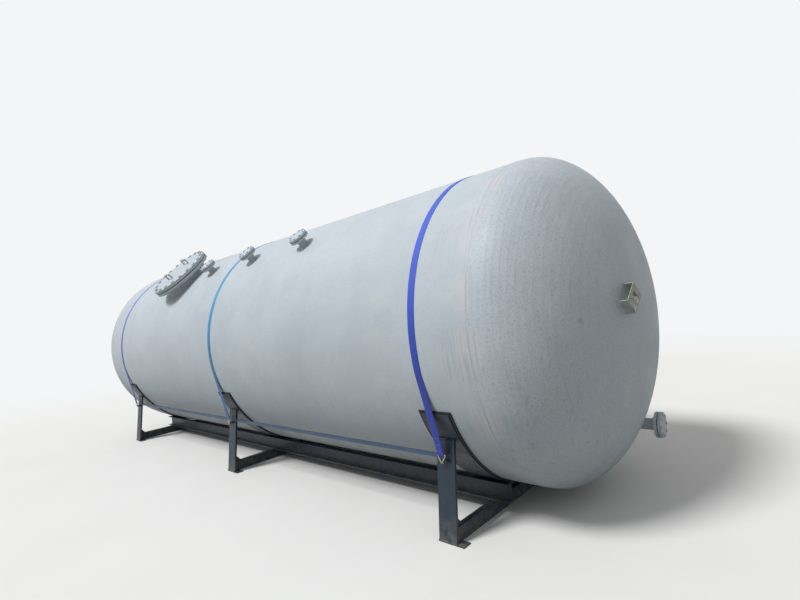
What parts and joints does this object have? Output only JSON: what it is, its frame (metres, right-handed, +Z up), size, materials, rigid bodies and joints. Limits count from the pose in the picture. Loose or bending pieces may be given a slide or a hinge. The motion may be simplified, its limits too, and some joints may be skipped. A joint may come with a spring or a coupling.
{
  "type": "horizontal pressure tank",
  "caption": "Horizontal welded pressure tank with dished ends, a bolted manway and flanged nozzles, strapped onto a steel transport cradle with rubber-lined saddles.",
  "frame": {"origin": "on the ground under the middle cross beam, at the middle of its length and width", "axes": "+X along the tank towards the head with the outlet, +Y to the back, away from the side to which the manway leans, +Z up"},
  "size_m": [8.4282, 2.6066, 2.7673],
  "materials": {
    "tank_paint": "light grey sprayed matt paint",
    "cradle_paint": "dark blue-grey satin paint",
    "rubber": "black rubber strip",
    "gasket": "dark grey sheet gasket",
    "near_webbing": "royal blue polyester webbing",
    "middle_webbing": "light blue polyester webbing",
    "far_webbing": "violet blue polyester webbing",
    "zinc": "zinc plated steel"
  },
  "bodies": {
    "root": {"shell_course_1": "tank_paint", "shell_course_2": "tank_paint", "shell_course_3": "tank_paint", "shell_course_4": "tank_paint", "outlet_head": "tank_paint", "far_head": "tank_paint", "manway_neck": "tank_paint", "manway_flange": "tank_paint", "manway_gasket": "gasket", "manway_cover": "tank_paint", "top_nozzle_1": "tank_paint", "top_nozzle_2": "tank_paint", "top_nozzle_3": "tank_paint", "top_blind_1": "tank_paint", "top_blind_2": "tank_paint", "top_blind_3": "tank_paint", "outlet_nozzle": "tank_paint", "outlet_blind": "tank_paint", "plate_bracket": "tank_paint", "near_cross_beam": "cradle_paint", "middle_cross_beam": "cradle_paint", "far_cross_beam": "cradle_paint", "near_saddle": "cradle_paint", "middle_saddle": "cradle_paint", "far_saddle": "cradle_paint", "near_rubber": "rubber", "middle_rubber": "rubber", "far_rubber": "rubber", "near_front_post": "cradle_paint", "middle_front_post": "cradle_paint", "far_front_post": "cradle_paint", "near_back_post": "cradle_paint", "middle_back_post": "cradle_paint", "far_back_post": "cradle_paint", "front_long_beam": "cradle_paint", "back_long_beam": "cradle_paint", "front_tie_bar": "cradle_paint", "back_tie_bar": "cradle_paint", "near_strap": "near_webbing", "middle_strap": "middle_webbing", "far_strap": "far_webbing", "near_ratchet": "zinc", "middle_ratchet": "zinc", "far_ratchet": "zinc"}
  },
  "joints": []
}
